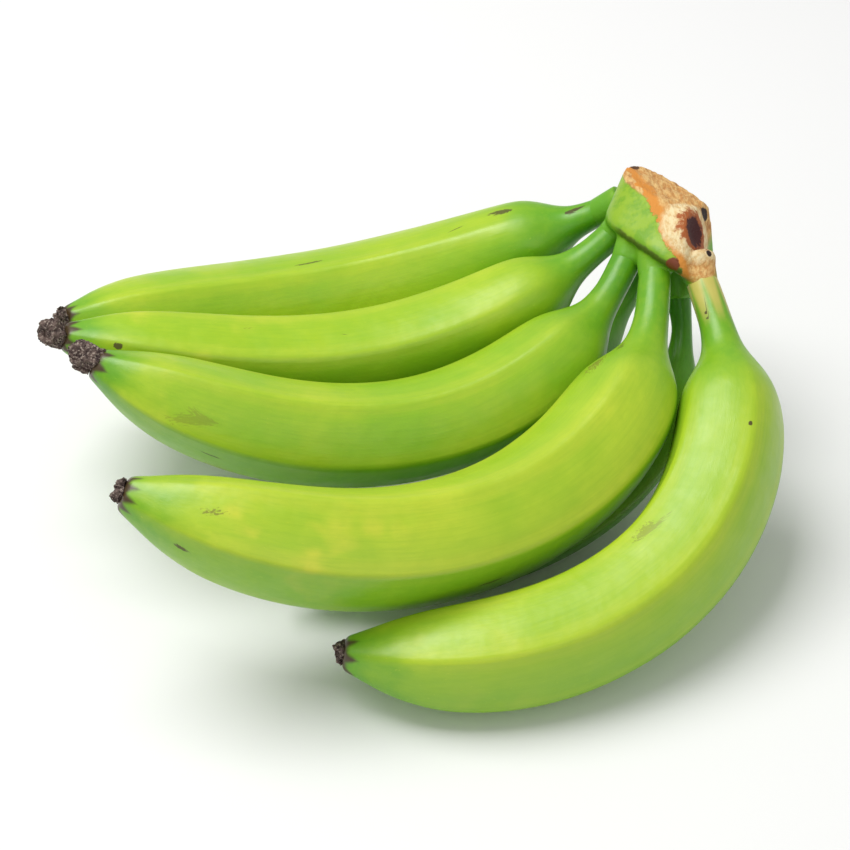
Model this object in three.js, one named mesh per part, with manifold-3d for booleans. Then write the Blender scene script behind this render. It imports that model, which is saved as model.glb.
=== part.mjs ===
// A hand of green bananas, cut from its stalk and lying on its lower fingers.
// Millimetres, +Z up. The tips point towards -X, and the cut crown is raised at the +X end.
import * as THREE from 'three';
import Module from 'manifold-3d';
import { mergeVertices } from 'three/addons/utils/BufferGeometryUtils.js';

// ---- driving dimensions -------------------------------------------------------------------

// Every finger shares one shape: a thin neck, a shoulder, a full body and a blunt tip.
const FINGER_RADIUS = 18;          // widest half-thickness of a finger of girth 1
const NECK_RADIUS = 5.4;           // where the neck leaves the crown
const RIDGE_DEPTH = 0.045;         // how far the five soft ridges stand out, of the radius
const RINGS = 24;                  // rings along a finger
const SIDES = 20;                  // points around a finger, four to each ridge
const RIDGES = 5;
const RIDGE_START = [0.08, 0.3];   // shares of the length over which the ridges rise
const CENTRE_STEPS = 240;          // steps along a centre line
const BODY_BEND = 0.7;             // 0 bends a finger evenly, 1 leaves its two ends straight
const WELD = 1e-5;                 // points nearer than this are one point

// Half-thickness along a finger, as [share of the length, share of the full radius]. The
// shoulder is measured from the end of the neck, and the body and tip from the root.
const SHOULDER = [[-0.05, 0.3], [0, 0.37], [0.035, 0.59], [0.07, 0.84], [0.125, 0.97]];
const BODY = [[0.36, 1], [0.5, 1], [0.66, 1], [0.78, 0.96], [0.87, 0.84]];
const TIP = [[0.93, 0.65], [0.97, 0.44], [1, 0.28]];

// A heading is [bearing, pitch] in degrees. Bearing 0 runs towards -X, 90 towards -Y, and
// pitch is upwards. A finger leaves the crown on one heading and ends on another, and half
// of the bend between them is used up at bendAt, a share of the length. neck is the share
// that the neck takes, and stem is how much more of it lies inside the crown, behind the
// root. roll turns the ridges about the centre line. Fingers 1 to 5 are the upper row, from the back to the front. Fingers 6 and 7 are
// the lower row, and the hand rests on them and on finger 5.
const FINGERS = [
  {
    root: [61, 82, 67], leaves: [-5, -31], ends: [30, 19], length: 197, bendAt: 0.41,
    girth: 0.87, neck: 0.055, stem: 7, roll: 10,
  },
  {
    root: [66, 68, 70], leaves: [28, -33], ends: [9, 24], length: 201, bendAt: 0.42,
    girth: 0.88, neck: 0.105, stem: 5, roll: 10,
  },
  {
    root: [70, 57, 72], leaves: [61, -35], ends: [-9, 28], length: 211, bendAt: 0.42,
    girth: 0.92, neck: 0.13, stem: 2, roll: 10,
  },
  {
    root: [76, 47, 73], leaves: [87, -28], ends: [-7, 23], length: 239, bendAt: 0.44,
    girth: 1.04, neck: 0.135, stem: 1, roll: 10,
  },
  {
    root: [90, 39.2, 70.6], leaves: [108.5, -26.4], ends: [-3, 6], length: 217, bendAt: 0.48,
    girth: 1, neck: 0.12, stem: 6, roll: 32,
  },
  {
    root: [84, 53, 60], leaves: [106, -43.6], ends: [8, 13], length: 190, bendAt: 0.36,
    girth: 0.61, neck: 0.13, stem: 3, roll: 10,
  },
  {
    root: [77, 71, 56.6], leaves: [52, -61], ends: [13, 8], length: 174, bendAt: 0.25,
    girth: 0.68, neck: 0.12, stem: 3, roll: 10,
  },
];

// The dried flower left on each tip, as [share of its length, radius].
const FLOWER_LENGTH = 7;
const FLOWER = [[0, 3.4], [0.35, 4.4], [0.75, 4], [1, 2.2]];
const FLOWER_SIDES = 10;

// The crown is the short strip of stalk that the necks grow from. Its length runs along the
// row of necks, its height across the two rows, and its thickness from the necks outwards.
const CROWN_CENTRE = [81, 62, 76];
const CROWN_LENGTH = 48;
const CROWN_HEIGHT = 34;
const CROWN_THICKNESS = 25;
const CROWN_TAPER = 0.45;              // share of the height lost between the necks and the cut
const CROWN_ROUNDING = 4;
const CROWN_ROUND_STEPS = 3;
const CROWN_END_STEPS = 10;             // steps round each rounded end
const CROWN_ALONG = [27, -39, 3];       // from the back neck to the front neck
const CROWN_OUT = [0.31, 0.7, 0.73];    // away from the fingers, leaning over the back neck

// The knife took the hand off in two strokes. Each is a point on the cut and the way it faces.
const CUTS = [
  { point: [80, 65, 85], facing: [0.26, 0.25, 0.93] },
  { point: [88.5, 48, 78], facing: [0.85, -0.3, 0.42] },
];
const KNIFE_BLOCK = 80;                 // the waste block each stroke takes away

const GAP = 0.35;                  // clearance between neighbouring solids

// ---- materials ----------------------------------------------------------------------------

const peel = new THREE.MeshStandardMaterial({ color: 0x93c41c, roughness: 0.42, metalness: 0 });
const driedFlower = new THREE.MeshStandardMaterial({ color: 0x4a3d35, roughness: 0.9, metalness: 0 });
const cutStalk = new THREE.MeshStandardMaterial({ color: 0xd9a860, roughness: 0.7, metalness: 0 });

// ---- centre line --------------------------------------------------------------------------

const radians = THREE.MathUtils.degToRad;

function heading([bearing, pitch]) {
  const b = radians(bearing);
  const p = radians(pitch);
  return new THREE.Vector3(-Math.cos(b) * Math.cos(p), -Math.sin(b) * Math.cos(p), Math.sin(p));
}

// How much of the whole bend is used up by a share t of the length. Half of it is used up at
// bendAt, and the neck and the tip are straighter than the body.
function bendUsed(t, bendAt) {
  const half = 1 / 2;
  const even = t ** (Math.log(half) / Math.log(bendAt));
  return THREE.MathUtils.lerp(even, THREE.MathUtils.smoothstep(even, 0, 1), BODY_BEND);
}

// Points and directions along a finger. The direction turns from one heading to the other
// about a fixed axis, so the finger lies in one plane.
function centreLine({ root, leaves, ends, length, bendAt }) {
  const start = heading(leaves);
  const turn = start.angleTo(heading(ends));
  const side = start.clone().cross(heading(ends)).normalize();
  const point = new THREE.Vector3(...root);
  const stations = [];
  for (let i = 0; i <= CENTRE_STEPS; i += 1) {
    const along = start.clone().applyAxisAngle(side, turn * bendUsed(i / CENTRE_STEPS, bendAt));
    stations.push({ point: point.clone(), along, inward: side.clone().cross(along), side });
    point.addScaledVector(along, length / CENTRE_STEPS);
  }
  return stations;
}

// The station at a share t of the length. Beyond either end it carries straight on.
function stationAt(stations, t, length) {
  const last = stations.length - 1;
  const nearest = Math.round(THREE.MathUtils.clamp(t, 0, 1) * last);
  const station = stations[nearest];
  const beyond = (t - nearest / last) * length;
  return { ...station, point: station.point.clone().addScaledVector(station.along, beyond) };
}

// ---- solids -------------------------------------------------------------------------------

function closed(geometry) {
  geometry.deleteAttribute('normal');
  geometry.deleteAttribute('uv');
  return mergeVertices(geometry, WELD);
}

// An outline of [share of the length, radius], turned on a lathe and laid along a finger's
// centre line. swell(angle, t) scales the section, with the angle from the inner curve.
function turned(outline, sides, stations, length, swell = () => 1) {
  const first = outline[0][0];
  const last = outline[outline.length - 1][0];
  const profile = [[first, 0], ...outline, [last, 0]].map(([t, r]) => new THREE.Vector2(r, t));
  const solid = closed(new THREE.LatheGeometry(profile, sides));
  const position = solid.getAttribute('position');
  const v = new THREE.Vector3();
  for (let i = 0; i < position.count; i += 1) {
    v.fromBufferAttribute(position, i);
    const angle = Math.atan2(-v.z, v.x);
    const reach = Math.hypot(v.x, v.z) * swell(angle, v.y);
    const { point, inward, side } = stationAt(stations, v.y, length);
    v.copy(point).addScaledVector(inward, reach * Math.cos(angle));
    v.addScaledVector(side, reach * Math.sin(angle));
    position.setXYZ(i, v.x, v.y, v.z);
  }
  return solid;
}

// The smooth outline of a finger from its root to its tip, grown by a clearance if asked.
function fingerOutline({ girth, neck, stem, length }, clearance = 0) {
  const shoulder = SHOULDER.map(([t, r]) => [neck + t, r]);
  const radius = FINGER_RADIUS * girth;
  const curve = new THREE.SplineCurve(
    [...shoulder, ...BODY, ...TIP].map(([t, r]) => new THREE.Vector2(t, r * radius + clearance)),
  );
  const root = [-(stem + clearance) / length, NECK_RADIUS + clearance];
  return [root, ...curve.getPoints(RINGS).map((p) => [p.x, p.y])];
}

// Soft ridges with flatter faces between them, fading out in the neck.
function ridges(roll) {
  return (angle, t) => {
    const fade = THREE.MathUtils.smoothstep(t, ...RIDGE_START);
    return 1 + RIDGE_DEPTH * fade * Math.cos(RIDGES * (angle - radians(roll)));
  };
}

function flowerOutline(length) {
  const start = 1 + GAP / length;
  return FLOWER.map(([t, r]) => [start + (t * FLOWER_LENGTH) / length, r]);
}

// ---- the crown, with a socket cut for each neck -------------------------------------------

const wasm = await Module();
wasm.setup();

function toManifold(geometry) {
  return new wasm.Manifold(new wasm.Mesh({
    numProp: 3,
    vertProperties: new Float32Array(geometry.getAttribute('position').array),
    triVerts: new Uint32Array(geometry.index.array),
  }));
}

function toGeometry(manifold) {
  const mesh = manifold.getMesh();
  const geometry = new THREE.BufferGeometry();
  geometry.setAttribute('position', new THREE.BufferAttribute(mesh.vertProperties, 3));
  geometry.setIndex(new THREE.BufferAttribute(mesh.triVerts, 1));
  return geometry;
}

function crownBlock() {
  const outline = new THREE.Shape();
  const radius = CROWN_HEIGHT / 2 - CROWN_ROUNDING;
  const reach = CROWN_LENGTH / 2 - CROWN_HEIGHT / 2;
  outline.absarc(reach, 0, radius, -Math.PI / 2, Math.PI / 2);
  outline.absarc(-reach, 0, radius, Math.PI / 2, (3 * Math.PI) / 2);
  const block = new THREE.ExtrudeGeometry(outline, {
    depth: CROWN_THICKNESS - 2 * CROWN_ROUNDING,
    curveSegments: CROWN_END_STEPS,
    bevelSegments: CROWN_ROUND_STEPS,
    bevelSize: CROWN_ROUNDING,
    bevelThickness: CROWN_ROUNDING,
  });
  block.translate(0, 0, CROWN_ROUNDING - CROWN_THICKNESS / 2);
  const position = block.getAttribute('position');
  for (let i = 0; i < position.count; i += 1) {
    const outward = (position.getZ(i) + CROWN_THICKNESS / 2) / CROWN_THICKNESS;
    position.setY(i, position.getY(i) * (1 - CROWN_TAPER * outward));
  }
  const along = new THREE.Vector3(...CROWN_ALONG).normalize();
  const out = new THREE.Vector3(...CROWN_OUT).normalize();
  const down = out.clone().cross(along).normalize();
  block.applyMatrix4(new THREE.Matrix4().makeBasis(along, down, out));
  block.translate(...CROWN_CENTRE);
  return toManifold(closed(block));
}

// The block of waste beyond one stroke of the knife.
function waste({ point, facing }) {
  const block = new THREE.BoxGeometry(KNIFE_BLOCK, KNIFE_BLOCK, KNIFE_BLOCK);
  block.translate(0, 0, KNIFE_BLOCK / 2);
  const outward = new THREE.Vector3(...facing).normalize();
  block.applyQuaternion(new THREE.Quaternion().setFromUnitVectors(new THREE.Vector3(0, 0, 1), outward));
  block.translate(...point);
  return toManifold(closed(block));
}

// ---- the hand -----------------------------------------------------------------------------

const hand = new THREE.Group();

function add(name, geometry, material) {
  const mesh = new THREE.Mesh(geometry, material);
  mesh.name = name;
  hand.add(mesh);
}

let crown = CUTS.reduce((block, cut) => block.subtract(waste(cut)), crownBlock());
FINGERS.forEach((finger, i) => {
  const { length } = finger;
  const stations = centreLine(finger);
  const swell = ridges(finger.roll);
  add(`finger_${i + 1}`, turned(fingerOutline(finger), SIDES, stations, length, swell), peel);
  add(`flower_end_${i + 1}`, turned(flowerOutline(length), FLOWER_SIDES, stations, length), driedFlower);
  const socket = turned(fingerOutline(finger, GAP), SIDES, stations, length, swell);
  crown = crown.subtract(toManifold(socket));
});
add('crown', toGeometry(crown), cutStalk);

// The origin is under the middle of the hand, on the surface it lies on.
const reach = new THREE.Box3().setFromObject(hand);
const middle = reach.getCenter(new THREE.Vector3());
hand.children.forEach((mesh) => mesh.geometry.translate(-middle.x, -middle.y, -reach.min.z));

export default hand;
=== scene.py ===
import math

import bmesh
import bpy
from mathutils import Matrix, Vector, noise


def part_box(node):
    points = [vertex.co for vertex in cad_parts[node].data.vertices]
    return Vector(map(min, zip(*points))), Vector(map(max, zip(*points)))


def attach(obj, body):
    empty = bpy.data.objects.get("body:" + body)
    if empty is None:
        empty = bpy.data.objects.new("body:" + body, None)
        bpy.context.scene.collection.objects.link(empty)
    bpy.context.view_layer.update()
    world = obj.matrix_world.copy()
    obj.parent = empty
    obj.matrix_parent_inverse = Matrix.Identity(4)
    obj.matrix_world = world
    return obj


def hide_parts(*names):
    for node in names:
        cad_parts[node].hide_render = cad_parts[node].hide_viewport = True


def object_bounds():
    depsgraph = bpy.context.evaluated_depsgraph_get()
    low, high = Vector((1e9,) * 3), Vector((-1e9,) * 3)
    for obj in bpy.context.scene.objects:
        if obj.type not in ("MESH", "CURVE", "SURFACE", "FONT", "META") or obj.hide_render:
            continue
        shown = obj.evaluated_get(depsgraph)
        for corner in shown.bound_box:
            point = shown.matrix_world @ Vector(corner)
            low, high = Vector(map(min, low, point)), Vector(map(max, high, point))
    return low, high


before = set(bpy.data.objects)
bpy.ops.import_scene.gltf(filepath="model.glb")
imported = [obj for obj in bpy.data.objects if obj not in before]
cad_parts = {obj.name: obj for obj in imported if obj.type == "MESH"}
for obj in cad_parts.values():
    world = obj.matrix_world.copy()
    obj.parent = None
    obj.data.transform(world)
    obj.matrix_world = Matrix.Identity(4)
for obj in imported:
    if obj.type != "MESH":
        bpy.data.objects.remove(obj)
cad_box = [list(corner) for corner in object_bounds()]


# ---------------------------------------------------------------------------------------
# The fingers. Seven unripe fruit in two rows, each a thick waxy green peel over firm flesh.
# They grew from one piece of stalk, so they all bend the same way, and each keeps five
# soft ridges from the flower it grew behind.

FINGERS = [f"finger_{number}" for number in range(1, 8)]
SUBDIVISIONS = 2
WELD = 1e-5
CROWN_MIDDLE = (Vector(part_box("crown")[0]) + Vector(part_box("crown")[1])) / 2


def hex_colour(code):
    """A paint-chart colour such as "8cbf26" as linear red, green, blue and alpha."""
    channels = [int(code[i:i + 2], 16) / 255 for i in (0, 2, 4)]
    linear = [c / 12.92 if c <= 0.04045 else ((c + 0.055) / 1.055) ** 2.4 for c in channels]
    return (*linear, 1.0)


def make_piece(name, mesh, *nodes, slot):
    """An object on the hand that stands for CAD nodes."""
    piece = bpy.data.objects.new(name, mesh)
    bpy.context.collection.objects.link(piece)
    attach(piece, "root")
    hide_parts(*nodes)
    return piece


def smooth_finish(piece, levels):
    for face in piece.data.polygons:
        face.use_smooth = True
    subdivision = piece.modifiers.new("fine skin", "SUBSURF")
    subdivision.levels = levels
    subdivision.render_levels = levels


def refined(skin, name, levels):
    """A bmesh as a mesh that has been subdivided for good, so that it can be shaped further."""
    coarse = bpy.data.meshes.new(name)
    skin.to_mesh(coarse)
    skin.free()
    holder = bpy.data.objects.new(name, coarse)
    bpy.context.collection.objects.link(holder)
    smooth_finish(holder, levels)
    seen = holder.evaluated_get(bpy.context.evaluated_depsgraph_get())
    mesh = bpy.data.meshes.new_from_object(seen)
    bpy.data.objects.remove(holder)
    return mesh


def welded(node):
    """A CAD node's skin as a bmesh, with its loose triangles joined into quads."""
    skin = bmesh.new()
    skin.from_mesh(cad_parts[node].data)
    skin.verts.layers.float_vector.new("grain")
    skin.verts.layers.float.new("share")
    skin.verts.layers.float.new("ridge")
    skin.verts.layers.float.new("under")
    bmesh.ops.remove_doubles(skin, verts=skin.verts, dist=WELD)
    bmesh.ops.join_triangles(
        skin, faces=skin.faces, angle_face_threshold=math.radians(50), angle_shape_threshold=math.radians(80)
    )
    skin.verts.ensure_lookup_table()
    skin.verts.index_update()
    return skin


def rings_along(skin):
    """The rings of points of a turned solid, from the end in the crown to the far end."""
    poles = sorted(skin.verts, key=lambda v: -len(v.link_edges))[:2]
    ring = [min(poles, key=lambda v: (v.co - CROWN_MIDDLE).length)]
    seen = set(ring)
    rings = []
    while ring:
        rings.append(ring)
        beyond = {edge.other_vert(v) for v in ring for edge in v.link_edges} - seen
        seen |= beyond
        ring = sorted(beyond, key=lambda v: v.index)
    return rings


def middle_of(ring):
    return sum((v.co for v in ring), Vector()) / len(ring)


class Bend:
    """A finger's centre line: its points, directions, length and the plane it bends in."""

    def __init__(self, rings):
        self.points = [middle_of(ring) for ring in rings]
        last = len(self.points) - 1
        self.along = [
            (self.points[min(i + 1, last)] - self.points[max(i - 1, 0)]).normalized() for i in range(last + 1)
        ]
        self.travel = [0.0]
        for i in range(last):
            self.travel.append(self.travel[-1] + (self.points[i + 1] - self.points[i]).length)
        self.length = self.travel[-1]
        self.side = self.along[1].cross(self.along[-2]).normalized()

    def inward(self, i):
        return self.side.cross(self.along[i])

    def station(self, travel):
        """The nearest ring to a distance along the finger."""
        return min(range(len(self.travel)), key=lambda i: abs(self.travel[i] - travel))


def lay_out(skin, rings, bend):
    """Stores where each point would be on the straightened finger, and how proud it stands.

    grain is (towards the inner curve, sideways, along) in metres, and share is how far along.
    """
    grain = skin.verts.layers.float_vector["grain"]
    share = skin.verts.layers.float["share"]
    ridge = skin.verts.layers.float["ridge"]
    for i, ring in enumerate(rings):
        reaches = [(v.co - bend.points[i]).length for v in ring]
        mean = sum(reaches) / len(reaches)
        for v, reach in zip(ring, reaches):
            arm = v.co - bend.points[i]
            v[grain] = Vector((arm.dot(bend.inward(i)), arm.dot(bend.side), bend.travel[i]))
            v[share] = bend.travel[i] / bend.length
            v[ridge] = (reach / mean - 1) if mean > 1e-4 else 0


RIDGE_TURN = 72
RIDGE_SHARPNESS = 0.55              # 0 leaves the soft ridges of the CAD solid, 1 makes a pentagon
CAD_RIDGE = 0.045


def pentagon_reach(degrees):
    """How far a regular pentagon reaches at an angle from its nearest corner, as a share."""
    off = abs((degrees + RIDGE_TURN / 2) % RIDGE_TURN - RIDGE_TURN / 2)
    half = math.radians(RIDGE_TURN / 2)
    return math.cos(half) / math.cos(half - math.radians(off))


def sharpen_ridges(mesh, bend, turn):
    """Flattens the faces between a finger's five ridges, so that the ridges catch the light."""
    grain = mesh.attributes["grain"].data
    share = mesh.attributes["share"].data
    ridge = mesh.attributes["ridge"].data
    mean = sum(pentagon_reach(d) for d in range(RIDGE_TURN)) / RIDGE_TURN
    for v in mesh.vertices:
        across, sideways, travel = grain[v.index].vector
        angle = math.degrees(math.atan2(sideways, across)) - turn
        body = min(max((share[v.index].value - 0.12) / 0.25, 0), 1) * min((1 - share[v.index].value) / 0.12, 1)
        flat = pentagon_reach(angle) / mean - 1
        soft = CAD_RIDGE * math.cos(math.radians(5 * angle))
        change = body * RIDGE_SHARPNESS * (flat - soft)
        k = bend.station(travel)
        arm = bend.inward(k) * across + bend.side * sideways
        v.co += arm * change
        ridge[v.index].value = body * flat


def paint_underside_shade(mesh):
    """Stores how far each point of the peel faces down, for the painted shade on the peel's undersides."""
    under = mesh.attributes["under"].data
    for v, normal in zip(mesh.vertices, mesh.vertex_normals):
        under[v.index].value = 0.5 - 0.5 * normal.vector.z


def add_node(tree, kind, inputs=None, **settings):
    """A shader node with its settings, and each input linked from a socket or set to a value."""
    made = tree.nodes.new(kind)
    for key, value in settings.items():
        setattr(made, key, value)
    for key, value in (inputs or {}).items():
        if isinstance(value, bpy.types.NodeSocket):
            tree.links.new(value, made.inputs[key])
        else:
            made.inputs[key].default_value = value
    return made


def blend_colours(tree, factor, first, second, mode="MIX"):
    mix = add_node(tree, "ShaderNodeMix", data_type="RGBA", blend_type=mode)
    for socket, value in ((mix.inputs[0], factor), (mix.inputs[6], first), (mix.inputs[7], second)):
        if isinstance(value, bpy.types.NodeSocket):
            tree.links.new(value, socket)
        else:
            socket.default_value = value
    return mix.outputs[2]


def between(tree, value, low, high, to_low=0.0, to_high=1.0):
    """A value eased from low..high to a new range, and held at the ends."""
    return add_node(
        tree, "ShaderNodeMapRange",
        {"Value": value, "From Min": low, "From Max": high, "To Min": to_low, "To Max": to_high},
        interpolation_type="SMOOTHSTEP",
    ).outputs["Result"]


def combine(tree, operation, first, second):
    return add_node(tree, "ShaderNodeMath", {0: first, 1: second}, operation=operation).outputs[0]


def noise_at(tree, vector, scale, detail=2.0, roughness=0.5, distortion=0.0):
    return add_node(
        tree, "ShaderNodeTexNoise",
        {"Vector": vector, "Scale": scale, "Detail": detail, "Roughness": roughness, "Distortion": distortion},
    ).outputs["Fac"]


def stretched(tree, vector, scale):
    return add_node(tree, "ShaderNodeMapping", {"Vector": vector, "Scale": scale}).outputs["Vector"]


def attribute(tree, name):
    return add_node(tree, "ShaderNodeAttribute", attribute_name=name)


def new_group(name, inputs, outputs):
    """An empty node group with named sockets, and its input and output nodes."""
    group = bpy.data.node_groups.new(name, "ShaderNodeTree")
    for label, kind, default in inputs:
        group.interface.new_socket(label, in_out="INPUT", socket_type=kind).default_value = default
    for label, kind in outputs:
        group.interface.new_socket(label, in_out="OUTPUT", socket_type=kind)
    return group, group.nodes.new("NodeGroupInput"), group.nodes.new("NodeGroupOutput")


def make_peel_group():
    """Waxy green peel: cloudy tone, lengthwise streaks, pores and deeper green at both ends, with a painted highlight
    along the ridges and painted shade where it faces down.
    """
    group, given, result = new_group(
        "waxy peel",
        [
            ("Lime", "NodeSocketColor", hex_colour("b4d03c")),
            ("Green", "NodeSocketColor", hex_colour("8cbc2a")),
            ("Deep", "NodeSocketColor", hex_colour("4f8f16")),
            ("Yellow", "NodeSocketColor", hex_colour("cdd44a")),
            ("Yellowing", "NodeSocketFloat", 0.3),
        ],
        [("Color", "NodeSocketColor"), ("Roughness", "NodeSocketFloat"), ("Height", "NodeSocketFloat")],
    )
    place = add_node(group, "ShaderNodeTexCoord").outputs["Object"]
    grain = attribute(group, "grain").outputs["Vector"]
    share = attribute(group, "share").outputs["Fac"]
    ridge = attribute(group, "ridge").outputs["Fac"]

    clouds = noise_at(group, place, 26.0, 4.0, 0.6)
    cloudy = between(group, clouds, 0.3, 0.7)
    colour = blend_colours(group, cloudy, given.outputs["Green"], given.outputs["Lime"])

    # Painted highlight: the peel is lighter and yellower along the proud ridges, where they catch the light.
    proud = between(group, ridge, -0.03, 0.045)
    ridge_highlight = combine(group, "MULTIPLY", proud, 0.22)
    colour = blend_colours(group, ridge_highlight, colour, given.outputs["Yellow"])

    patches = between(group, noise_at(group, place, 55.0, 2.0, 0.5, 0.3), 0.55, 0.72)
    towards_tip = between(group, share, 0.55, 0.86)
    before_end = between(group, share, 0.97, 0.9)
    yellow = combine(group, "MULTIPLY", combine(group, "MULTIPLY", towards_tip, before_end), patches)
    yellow = combine(group, "MULTIPLY", yellow, given.outputs["Yellowing"])
    colour = blend_colours(group, yellow, colour, given.outputs["Yellow"])

    wander = combine(group, "MULTIPLY", combine(group, "SUBTRACT", noise_at(group, place, 70.0), 0.5), 0.12)
    wandering = combine(group, "ADD", share, wander)
    neck = between(group, wandering, 0.3, 0.06, 0.0, 0.85)
    tip = between(group, wandering, 0.9, 1.0, 0.0, 0.75)
    colour = blend_colours(group, combine(group, "MAXIMUM", neck, tip), colour, given.outputs["Deep"])

    # Painted shade: the peel turns towards its deep green where it faces down, away from the lamp.
    shaded = between(group, attribute(group, "under").outputs["Fac"], 0.22, 0.62, 0.0, 0.6)
    colour = blend_colours(group, shaded, colour, given.outputs["Deep"])

    fibres = noise_at(group, stretched(group, grain, (1.0, 1.0, 0.06)), 900.0, 4.0, 0.65)
    streaks = between(group, fibres, 0.35, 0.75, 0.0, 0.14)
    colour = blend_colours(group, streaks, colour, given.outputs["Deep"])
    dapple = between(group, noise_at(group, place, 330.0, 3.0, 0.6), 0.42, 0.68, 0.0, 0.16)
    colour = blend_colours(group, dapple, colour, given.outputs["Green"])

    pores = noise_at(group, stretched(group, grain, (1.0, 1.0, 0.6)), 1500.0, 1.0)
    specks = between(group, pores, 0.7, 0.8, 0.0, 0.25)
    colour = blend_colours(group, specks, colour, given.outputs["Yellow"])
    dry_end = between(group, combine(group, "ADD", share, combine(group, "MULTIPLY", wander, 0.12)), 0.984, 0.996)
    colour = blend_colours(group, dry_end, colour, hex_colour("4a3a20"))

    dull = between(group, noise_at(group, place, 120.0, 3.0, 0.6), 0.3, 0.7, 0.34, 0.46)
    dimples = noise_at(group, place, 95.0, 2.0, 0.5)
    height = combine(group, "ADD", combine(group, "MULTIPLY", dimples, 1.0), combine(group, "MULTIPLY", fibres, 0.12))
    height = combine(group, "ADD", height, combine(group, "MULTIPLY", pores, 0.05))
    group.links.new(colour, result.inputs["Color"])
    group.links.new(dull, result.inputs["Roughness"])
    group.links.new(height, result.inputs["Height"])
    return group


def make_scar_group():
    """One brown mark on the peel: an oval with a ragged edge. Puts out how much of it shows."""
    group, given, result = new_group(
        "peel scar",
        [
            ("Place", "NodeSocketVector", (0, 0, 0)),
            ("Size", "NodeSocketVector", (0.001, 0.001, 0.001)),
            ("Ragged", "NodeSocketFloat", 0.5),
        ],
        [("Mask", "NodeSocketFloat")],
    )
    grain = attribute(group, "grain").outputs["Vector"]
    from_middle = add_node(
        group, "ShaderNodeVectorMath", {0: grain, 1: given.outputs["Place"]}, operation="SUBTRACT"
    ).outputs["Vector"]
    scaled = add_node(
        group, "ShaderNodeVectorMath", {0: from_middle, 1: given.outputs["Size"]}, operation="DIVIDE"
    ).outputs["Vector"]
    reach = add_node(group, "ShaderNodeVectorMath", {0: scaled}, operation="LENGTH").outputs["Value"]
    rough = combine(group, "SUBTRACT", noise_at(group, grain, 1100.0, 3.0, 0.65), 0.5)
    rough = combine(group, "MULTIPLY", rough, combine(group, "MULTIPLY", given.outputs["Ragged"], 3.0))
    edge = combine(group, "ADD", reach, rough)
    group.links.new(between(group, edge, 1.05, 0.75), result.inputs["Mask"])
    return group


PEEL_GROUP = make_peel_group()
SCAR_GROUP = make_scar_group()
SCAR_BROWN = hex_colour("4a3a16")
SCAR_OLIVE = hex_colour("7d7a22")
ROOT_CREAM = hex_colour("d8c468")


def peel_material(name, tones, scars, creamy=0.0):
    """The peel of one finger, with its own tones and marks."""
    material = bpy.data.materials.new(name)
    material.use_nodes = True
    tree = material.node_tree
    shader = tree.nodes["Principled BSDF"]
    inputs = {label: hex_colour(code) for label, code in tones.items() if label != "Yellowing"}
    peel = add_node(tree, "ShaderNodeGroup", node_tree=PEEL_GROUP)
    for label, value in inputs.items():
        peel.inputs[label].default_value = value
    peel.inputs["Yellowing"].default_value = tones["Yellowing"]
    colour = peel.outputs["Color"]
    roughness = peel.outputs["Roughness"]
    if creamy:
        share = attribute(tree, "share").outputs["Fac"]
        colour = blend_colours(tree, between(tree, share, 0.115, 0.04, 0.0, creamy), colour, ROOT_CREAM)
    for place, size, ragged, tone, strength in scars:
        scar = add_node(
            tree, "ShaderNodeGroup", node_tree=SCAR_GROUP,
        )
        scar.inputs["Place"].default_value = place
        scar.inputs["Size"].default_value = size
        scar.inputs["Ragged"].default_value = ragged
        shown = combine(tree, "MULTIPLY", scar.outputs["Mask"], strength)
        colour = blend_colours(tree, shown, colour, tone)
        roughness = combine(tree, "MAXIMUM", roughness, combine(tree, "MULTIPLY", shown, 0.8))
    tree.links.new(colour, shader.inputs["Base Color"])
    tree.links.new(roughness, shader.inputs["Roughness"])
    bump = add_node(
        tree, "ShaderNodeBump",
        {"Height": peel.outputs["Height"], "Strength": 0.35, "Distance": 0.0012},
    )
    tree.links.new(bump.outputs["Normal"], shader.inputs["Normal"])
    shader.inputs["Coat Weight"].default_value = 0.12
    shader.inputs["Coat Roughness"].default_value = 0.3
    return material


# Degrees from the inner curve to a ridge, where it isn't the usual 10.
RIDGE_ROLLS = {"finger_5": 32}

# The colours of each finger of one hand. finger_6 and finger_7, the lower row, have darker tones as painted shade,
# for the shade they lie in beneath the upper row.
TONES = {
    "finger_1": {"Lime": "b0cf22", "Green": "96c41c", "Deep": "4ea00c", "Yellow": "cdd63c", "Yellowing": 0.2},
    "finger_2": {"Lime": "b2d022", "Green": "98c41c", "Deep": "50a00e", "Yellow": "d0d83e", "Yellowing": 0.6},
    "finger_3": {"Lime": "b0ce26", "Green": "92c21c", "Deep": "46980a", "Yellow": "d0d840", "Yellowing": 0.3},
    "finger_4": {"Lime": "bad42e", "Green": "a2c824", "Deep": "54a210", "Yellow": "dada3e", "Yellowing": 0.9},
    "finger_5": {"Lime": "b4d22a", "Green": "9cc620", "Deep": "50a010", "Yellow": "d2da3e", "Yellowing": 0.4},
    # Painted shade: the lower row is darker than the upper row.
    "finger_6": {"Lime": "7cb41c", "Green": "64a014", "Deep": "3a8a0a", "Yellow": "a8c434", "Yellowing": 0.2},
    "finger_7": {"Lime": "88ba20", "Green": "6ca818", "Deep": "3c8c0a", "Yellow": "acc636", "Yellowing": 0.3},
}

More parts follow.
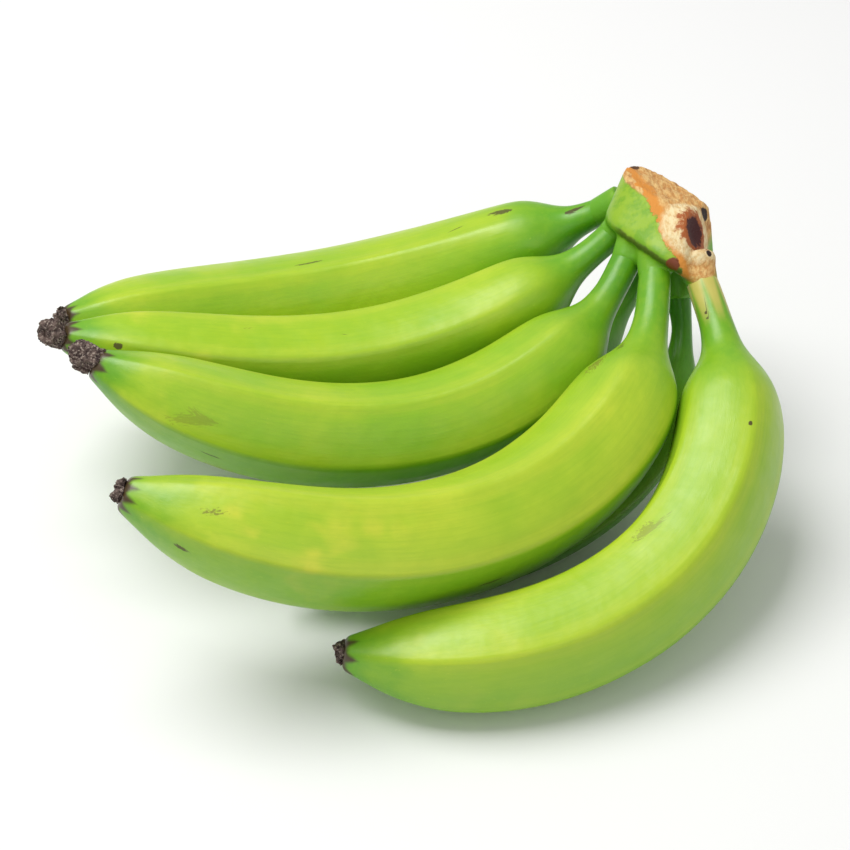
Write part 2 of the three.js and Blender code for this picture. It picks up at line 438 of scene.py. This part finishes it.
# The marks on each finger: (how far along, degrees round from the inner curve, length in
# millimetres, width in millimetres, how ragged, colour, how strong).
MARKS = {
    "finger_1": [
        (0.222, 34, 12.0, 3.2, 0.55, SCAR_BROWN, 0.85),
        (0.307, 27, 1.9, 1.9, 0.3, SCAR_BROWN, 0.9),
        (0.586, 29, 11.0, 1.6, 0.6, SCAR_BROWN, 0.7),
        (0.08, 20, 7.0, 2.4, 0.4, SCAR_BROWN, 0.9),
        (0.45, 120, 9.0, 1.4, 0.6, SCAR_OLIVE, 0.6),
    ],
    "finger_2": [
        (0.574, -33, 1.6, 1.5, 0.4, SCAR_BROWN, 0.8),
        (0.69, -17, 3.0, 1.2, 0.6, SCAR_OLIVE, 0.8),
        (0.912, -69, 4.0, 2.2, 0.4, SCAR_BROWN, 0.9),
        (0.4, 165, 14.0, 2.0, 0.7, SCAR_OLIVE, 0.6),
    ],
    "finger_3": [
        (0.893, -28, 1.8, 1.6, 0.4, SCAR_BROWN, 0.85),
        (0.846, -58, 1.6, 1.4, 0.4, SCAR_BROWN, 0.8),
        (0.851, -114, 9.0, 6.0, 0.9, SCAR_OLIVE, 0.4),
        (0.818, -159, 8.0, 1.4, 0.5, SCAR_BROWN, 0.8),
        (0.8, 160, 12.0, 3.0, 0.9, SCAR_OLIVE, 0.5),
    ],
    "finger_4": [
        (0.212, -14, 17.0, 5.0, 1.3, SCAR_OLIVE, 0.75),
        (0.172, -22, 6.0, 2.6, 1.0, SCAR_BROWN, 0.5),
        (0.901, -99, 7.0, 3.0, 1.1, SCAR_OLIVE, 0.8),
        (0.93, -160, 8.0, 1.8, 0.5, SCAR_BROWN, 0.85),
        (0.54, -172, 8.0, 2.4, 0.5, SCAR_BROWN, 0.8),
    ],
    "finger_5": [
        (0.279, -109, 1.8, 1.8, 0.2, SCAR_BROWN, 0.95),
        (0.07, -58, 1.4, 1.8, 0.0, SCAR_BROWN, 0.9),
        (0.082, -57, 1.3, 1.7, 0.0, SCAR_BROWN, 0.8),
        (0.491, -57, 10.0, 4.0, 1.2, SCAR_OLIVE, 0.5),
        (0.7, 140, 16.0, 3.0, 0.8, SCAR_OLIVE, 0.6),
    ],
    "finger_6": [(0.6, 60, 9.0, 2.2, 0.7, SCAR_OLIVE, 0.7)],
    "finger_7": [(0.4, 150, 10.0, 2.4, 0.8, SCAR_OLIVE, 0.7), (0.7, -60, 2.0, 1.6, 0.4, SCAR_BROWN, 0.8)],
}


def mark_places(rings, bend, marks, skin):
    """Each mark as a place and size on the straightened finger."""
    grain = skin.verts.layers.float_vector["grain"]
    placed = []
    for share, degrees, length, width, ragged, tone, strength in marks:
        i = min(range(len(rings)), key=lambda k: abs(bend.travel[k] / bend.length - share))
        reach = sum((v[grain].xy.length for v in rings[i]), 0.0) / len(rings[i])
        turn = math.radians(degrees)
        place = (reach * math.cos(turn), reach * math.sin(turn), share * bend.length)
        size = (width / 2000, width / 2000, length / 2000)
        placed.append((place, size, ragged, tone, strength))
    return placed


bends = {}
for node in FINGERS:
    skin = welded(node)
    rings = rings_along(skin)
    bend = Bend(rings)
    bends[node] = bend
    lay_out(skin, rings, bend)
    marks = mark_places(rings, bend, MARKS[node], skin)
    mesh = refined(skin, f"{node}_skin", SUBDIVISIONS)
    sharpen_ridges(mesh, bend, RIDGE_ROLLS.get(node, 10))
    paint_underside_shade(mesh)
    piece = make_piece(f"{node}_peel", mesh, node, slot="peel")
    creamy = 0.8 if node == "finger_5" else 0.0
    mesh.materials.append(peel_material(f"peel of {node}", TONES[node], marks, creamy))


# ---------------------------------------------------------------------------------------
# The flower ends. Each tip keeps the dried remains of its flower: a crumbly grey-brown
# stub of shrivelled stamens that snaps off when it is rubbed.


def make_dried_group():
    group, given, result = new_group(
        "dried flower",
        [("Scale", "NodeSocketFloat", 1.0)],
        [("Color", "NodeSocketColor"), ("Height", "NodeSocketFloat")],
    )
    place = add_node(group, "ShaderNodeTexCoord").outputs["Object"]
    lumps = noise_at(group, place, 420.0, 4.0, 0.7)
    crumbs_and_highlights = noise_at(group, place, 1300.0, 2.0, 0.6)
    # Darker in the hollows of the lumps and lighter where the crumbs stand proud: partly the grey-brown of the dried
    # flower, partly painted shade in the hollows and painted highlight on the crests.
    colour = blend_colours(
        group, between(group, lumps, 0.38, 0.62), hex_colour("2c1c1a"), hex_colour("6e5c54")
    )
    colour = blend_colours(group, between(group, crumbs_and_highlights, 0.52, 0.68, 0.0, 0.75), colour, hex_colour("b3a496"))
    group.links.new(colour, result.inputs["Color"])
    group.links.new(combine(group, "ADD", lumps, combine(group, "MULTIPLY", crumbs_and_highlights, 0.4)), result.inputs["Height"])
    return group


def dried_material():
    material = bpy.data.materials.new("dried flower")
    material.use_nodes = True
    tree = material.node_tree
    shader = tree.nodes["Principled BSDF"]
    dried = add_node(tree, "ShaderNodeGroup", node_tree=make_dried_group())
    tree.links.new(dried.outputs["Color"], shader.inputs["Base Color"])
    bump = add_node(
        tree, "ShaderNodeBump", {"Height": dried.outputs["Height"], "Strength": 0.7, "Distance": 0.0006}
    )
    tree.links.new(bump.outputs["Normal"], shader.inputs["Normal"])
    shader.inputs["Roughness"].default_value = 0.9
    return material


DRIED = dried_material()
# How long and how thick each dried flower is, as a share of its CAD solid.
FLOWER_SIZES = {1: (0.6, 0.85), 2: (1.4, 1.05), 3: (1.45, 1.1), 4: (0.6, 0.9), 5: (0.6, 0.9), 6: (0.7, 0.9), 7: (0.35, 0.6)}
STAMENS = 5
STAMEN_DEPTH = 0.26
CRUMPLE = 0.0022
SEATING = 0.0012


def shrivel(point, number, tip, bend, length, thickness):
    """Where a point of a smooth stub goes on the dried flower: five lobes round a sunken middle."""
    out, side = bend.along[-1], bend.side
    inward = side.cross(out)
    arm = point - tip
    rise = arm.dot(out)
    across, sideways = arm.dot(inward), arm.dot(side)
    angle = math.atan2(sideways, across)
    lobes = 1 + STAMEN_DEPTH * math.cos(STAMENS * angle + number) * min(max(rise / 0.004, 0.2), 1)
    sunk = 0.0022 * max(0.0, 1 - math.hypot(across, sideways) / 0.0026) if rise > 0.004 else 0.0
    place = tip + out * ((rise - sunk) * length - SEATING) + (inward * across + side * sideways) * thickness * lobes
    place += noise.noise_vector(place * 240) * CRUMPLE
    return place + noise.noise_vector(place * 1100) * CRUMPLE * 0.35


for number, (length, thickness) in FLOWER_SIZES.items():
    node = f"flower_end_{number}"
    stub = welded(node)
    bend = bends[f"finger_{number}"]
    mesh = refined(stub, f"{node}_stub", 3)
    for v in mesh.vertices:
        v.co = shrivel(v.co, number, bend.points[-1], bend, length, thickness)
    piece = make_piece(f"{node}_dried", mesh, node, slot="dried_flower")
    mesh.materials.append(DRIED)


# ---------------------------------------------------------------------------------------
# The crown. The short strip of green stalk that the necks grow out of, taken off the main
# stalk in two strokes of a knife. The first cut has dried to tan fibres, and the second is
# paler with a dark stain of sap.

VOXEL = 0.0008
NECK_FLARE = (0.0066, 0.0048)       # radius in the crown, and where the flare meets the neck
FLARE_REACH = 0.011
SOFTEN_ROUNDS = 4


def neck_flare(bend):
    """A cone of flesh round the start of a neck, sunk into the finger at its thin end."""
    cone = bmesh.new()
    bmesh.ops.create_cone(
        cone, cap_ends=True, segments=24, radius1=NECK_FLARE[0], radius2=NECK_FLARE[1], depth=FLARE_REACH
    )
    turn = bend.along[2].to_track_quat("Z", "Y").to_matrix().to_4x4()
    middle = bend.points[1] + bend.along[2] * FLARE_REACH / 2
    bmesh.ops.transform(cone, matrix=Matrix.Translation(middle) @ turn, verts=cone.verts)
    return cone


def remeshed(parts, name):
    """The parts joined into one evenly spaced skin."""
    joined = bpy.data.meshes.new(name)
    whole = bmesh.new()
    for part in parts:
        single = bpy.data.meshes.new("part")
        part.to_mesh(single)
        whole.from_mesh(single)
        part.free()
        bpy.data.meshes.remove(single)
    whole.to_mesh(joined)
    whole.free()
    holder = bpy.data.objects.new(name, joined)
    bpy.context.collection.objects.link(holder)
    remesh = holder.modifiers.new("even skin", "REMESH")
    remesh.mode = "VOXEL"
    remesh.voxel_size = VOXEL
    seen = holder.evaluated_get(bpy.context.evaluated_depsgraph_get())
    mesh = bpy.data.meshes.new_from_object(seen)
    bpy.data.objects.remove(holder)
    return mesh


def in_crown(x, y, z):
    """A point by its share of the crown's box."""
    low, high = (Vector(corner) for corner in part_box("crown"))
    return Vector((low.x + (high.x - low.x) * x, low.y + (high.y - low.y) * y, low.z + (high.z - low.z) * z))


# Each is a point on a flat side of the crown, and the way that side faces.
DRY_CUT = (in_crown(0.549, 0.563, 0.904), Vector((0.26, 0.25, 0.93)).normalized())
NECK_SIDE = (in_crown(0.577, 0.507, 0.608), Vector((0.51, 0.41, 0.75)).normalized())
SKIN_EDGE = (in_crown(0.344, 0.665, 0.638), Vector((1.0, 0.257, 0.306)).normalized())
SAP_STAIN = in_crown(0.765, 0.262, 0.793)
BULGE_REACH = 0.013
BULGE_HEIGHT = 0.0014
STAIN_REACH = 0.0055
STAIN_DEPTH = 0.0007
FIBRE_RELIEF = 0.0005


def carve(mesh):
    """Raises the soft core beside the sap stain, sinks the stain, and tears up the dry cut."""
    point, facing = DRY_CUT
    normals = [v.normal.copy() for v in mesh.vertices]
    for v, normal in zip(mesh.vertices, normals):
        away = (v.co - SAP_STAIN).length
        rise = BULGE_HEIGHT * max(0.0, 1 - (away / BULGE_REACH) ** 2)
        sink = STAIN_DEPTH * max(0.0, 1 - (away / STAIN_REACH) ** 2) * 2
        on_cut = max(0.0, 1 - abs((v.co - point).dot(facing)) / 0.0015) * max(0.0, normal.dot(facing))
        fibres = noise.noise(Vector((v.co.x * 900, v.co.y * 220, v.co.z * 900)))
        lumps = noise.noise(v.co * 150)
        v.co += normal * (rise - sink + on_cut * FIBRE_RELIEF * (fibres + lumps))


def make_stalk_group():
    """Stalk cut with a knife: green skin, dry tan fibres, a paler core, a dark stain of sap, and a painted shade line
    in the fold beneath the skin plate.
    """
    group, given, result = new_group(
        "cut stalk",
        [("Skin", "NodeSocketColor", hex_colour("93b822"))],
        [("Color", "NodeSocketColor"), ("Roughness", "NodeSocketFloat"), ("Height", "NodeSocketFloat")],
    )
    place = add_node(group, "ShaderNodeTexCoord").outputs["Object"]

    def distance_to(point):
        return add_node(group, "ShaderNodeVectorMath", {0: place, 1: point}, operation="DISTANCE").outputs["Value"]

    def spot(point, reach, ragged):
        """A round mark with a ragged edge, its reach in metres."""
        uneven = combine(group, "SUBTRACT", noise_at(group, place, 420.0, 3.0, 0.6), 0.5)
        edge = combine(group, "ADD", distance_to(point), combine(group, "MULTIPLY", uneven, reach * ragged))
        return between(group, edge, reach, reach * 0.8)

    def height_over(side):
        """Metres out from one of the crown's flat sides."""
        point, facing = side
        away = add_node(group, "ShaderNodeVectorMath", {0: place, 1: point}, operation="SUBTRACT").outputs["Vector"]
        return add_node(
            group, "ShaderNodeVectorMath", {0: away, 1: facing}, operation="DOT_PRODUCT"
        ).outputs["Value"]

    uneven = combine(group, "SUBTRACT", noise_at(group, place, 200.0, 4.0, 0.6), 0.5)
    ragged = combine(group, "MULTIPLY", uneven, 0.002)
    on_top = between(group, combine(group, "ADD", height_over(DRY_CUT), ragged), -0.0021, -0.0012)
    from_skin = combine(group, "ADD", height_over(SKIN_EDGE), combine(group, "MULTIPLY", uneven, 0.007))
    height = add_node(group, "ShaderNodeSeparateXYZ", {0: place}).outputs["Z"]
    high = between(group, height, 0.0715, 0.0755)
    past_skin = combine(group, "MULTIPLY", between(group, from_skin, 0.0, 0.0006), high)
    on_cut = combine(group, "MAXIMUM", combine(group, "MULTIPLY", on_top, between(group, from_skin, -0.007, -0.005)), past_skin)

    mottled = noise_at(group, place, 180.0, 3.0, 0.6)
    skin = blend_colours(group, between(group, mottled, 0.4, 0.62), given.outputs["Skin"], hex_colour("76a818"))
    necks = between(group, height, 0.072, 0.083)
    skin = blend_colours(group, necks, hex_colour("68aa1c"), skin)
    # Painted shade: a dark olive line in the fold beneath the edge of the skin plate, by the neck side.
    depth = combine(group, "ADD", height_over(NECK_SIDE), ragged)
    fold_shade = combine(group, "MULTIPLY", between(group, depth, -0.012, -0.0113), between(group, depth, -0.0094, -0.0103))
    across = add_node(group, "ShaderNodeSeparateXYZ", {0: place}).outputs["X"]
    fold_shade = combine(group, "MULTIPLY", fold_shade, between(group, across, 0.0665, 0.0705))
    skin = blend_colours(group, combine(group, "MULTIPLY", fold_shade, 0.75), skin, hex_colour("3a3a14"))

    fibres = noise_at(group, stretched(group, place, (1.0, 0.22, 1.0)), 900.0, 4.0, 0.65)
    tan = blend_colours(group, between(group, fibres, 0.36, 0.64), hex_colour("c98d4a"), hex_colour("e8c07c"))
    blotches = between(group, noise_at(group, place, 240.0, 2.0), 0.56, 0.66, 0.0, 0.55)
    tan = blend_colours(group, blotches, tan, hex_colour("a8642c"))
    cream = blend_colours(group, between(group, fibres, 0.34, 0.62), hex_colour("e0bc80"), hex_colour("f4e0b0"))
    orange = hex_colour("dc9038")

    colour = blend_colours(group, on_cut, skin, tan)
    band = combine(group, "MULTIPLY", past_skin, between(group, from_skin, 0.005, 0.0025))
    colour = blend_colours(group, band, colour, orange)
    colour = blend_colours(group, spot(SAP_STAIN, 0.0128, 0.22), colour, cream)
    colour = blend_colours(group, spot(SAP_STAIN, 0.0084, 1.0), colour, hex_colour("b0602c"))
    colour = blend_colours(group, spot(SAP_STAIN, 0.006, 0.9), colour, hex_colour("471716"))
    for place_in_box, reach, tone in (
        ((0.56, 0.04, 0.66), 0.0024, "7a3a1c"),
        ((0.89, 0.5, 0.72), 0.0028, "2a1410"),
        ((0.9, 0.12, 0.7), 0.0014, "2a1410"),
        ((0.3, 0.95, 0.82), 0.002, "5a3a1c"),
        ((0.75, 0.85, 0.62), 0.003, "5a3418"),
    ):
        colour = blend_colours(group, spot(in_crown(*place_in_box), reach, 0.9), colour, hex_colour(tone))

    dry = combine(group, "MAXIMUM", on_cut, spot(SAP_STAIN, 0.0128, 0.22))
    group.links.new(colour, result.inputs["Color"])
    group.links.new(between(group, dry, 0.0, 1.0, 0.45, 0.75), result.inputs["Roughness"])
    relief = combine(group, "MULTIPLY", fibres, between(group, dry, 0.0, 1.0, 0.15, 1.0))
    group.links.new(combine(group, "ADD", relief, combine(group, "MULTIPLY", mottled, 0.5)), result.inputs["Height"])
    return group


def stalk_material():
    material = bpy.data.materials.new("cut stalk")
    material.use_nodes = True
    tree = material.node_tree
    shader = tree.nodes["Principled BSDF"]
    stalk = add_node(tree, "ShaderNodeGroup", node_tree=make_stalk_group())
    tree.links.new(stalk.outputs["Color"], shader.inputs["Base Color"])
    tree.links.new(stalk.outputs["Roughness"], shader.inputs["Roughness"])
    bump = add_node(
        tree, "ShaderNodeBump", {"Height": stalk.outputs["Height"], "Strength": 0.6, "Distance": 0.001}
    )
    tree.links.new(bump.outputs["Normal"], shader.inputs["Normal"])
    return material


crown_parts = [welded("crown")] + [neck_flare(bends[node]) for node in FINGERS]
crown_mesh = remeshed(crown_parts, "crown_skin")
crown_piece = make_piece("crown_stalk", crown_mesh, "crown", slot="cut_stalk")
crown_skin = bmesh.new()
crown_skin.from_mesh(crown_mesh)
for _ in range(SOFTEN_ROUNDS):
    bmesh.ops.smooth_vert(
        crown_skin, verts=crown_skin.verts, factor=0.5, use_axis_x=True, use_axis_y=True, use_axis_z=True
    )
crown_skin.to_mesh(crown_mesh)
crown_skin.free()
carve(crown_mesh)
for face in crown_mesh.polygons:
    face.use_smooth = True
crown_mesh.materials.append(stalk_material())


# ---------------------------------------------------------------------------------------
# The table and light. A plain pale surface, a broad soft lamp above and behind on the left,
# and a weak one in front.

FLOOR_SIZE = 6.0
LOOK_UP = 40.0
CAMERA_DISTANCE = 0.8
CAMERA_LENS = 105.0
box_low, box_high = (Vector(corner) for corner in cad_box)
aim = (box_low + box_high) / 2 + Vector((0.0054, 0.0, -0.0034))

floor_bm = bmesh.new()
bmesh.ops.create_grid(floor_bm, x_segments=1, y_segments=1, size=FLOOR_SIZE / 2)
floor_mesh = bpy.data.meshes.new("floor")
floor_bm.to_mesh(floor_mesh)
floor_bm.free()
floor = bpy.data.objects.new("floor", floor_mesh)
bpy.context.collection.objects.link(floor)
paint = bpy.data.materials.new("pale table")
paint.use_nodes = True
paint.node_tree.nodes["Principled BSDF"].inputs["Base Color"].default_value = (0.92, 0.92, 0.91, 1.0)
paint.node_tree.nodes["Principled BSDF"].inputs["Roughness"].default_value = 0.9
floor_mesh.materials.append(paint)


def add_lamp(name, place, size, power):
    light = bpy.data.lights.new(name, "AREA")
    light.shape = "RECTANGLE"
    light.size, light.size_y = size
    light.energy = power
    lamp = bpy.data.objects.new(name, light)
    lamp.location = place
    lamp.rotation_euler = (aim - Vector(place)).to_track_quat("-Z", "Y").to_euler()
    bpy.context.collection.objects.link(lamp)


add_lamp("broad lamp", (-0.42, 0.12, 1.2), (0.8, 0.8), 13.2)
add_lamp("front lamp", (0.5, -1.2, 0.9), (1.2, 1.0), 2.4)

world = bpy.data.worlds.new("studio")
world.use_nodes = True
world.node_tree.nodes["Background"].inputs["Color"].default_value = (1.0, 1.0, 1.0, 1.0)
world.node_tree.nodes["Background"].inputs["Strength"].default_value = 0.42
bpy.context.scene.world = world

camera_data = bpy.data.cameras.new("camera")
camera_data.lens = CAMERA_LENS
camera = bpy.data.objects.new("camera", camera_data)
tilt = math.radians(LOOK_UP)
camera.location = aim + Vector((0.0, -math.cos(tilt), math.sin(tilt))) * CAMERA_DISTANCE
camera.rotation_euler = (math.radians(90) - tilt, 0.0, 0.0)
bpy.context.collection.objects.link(camera)
bpy.context.scene.camera = camera
bpy.context.scene.view_settings.view_transform = "Standard"
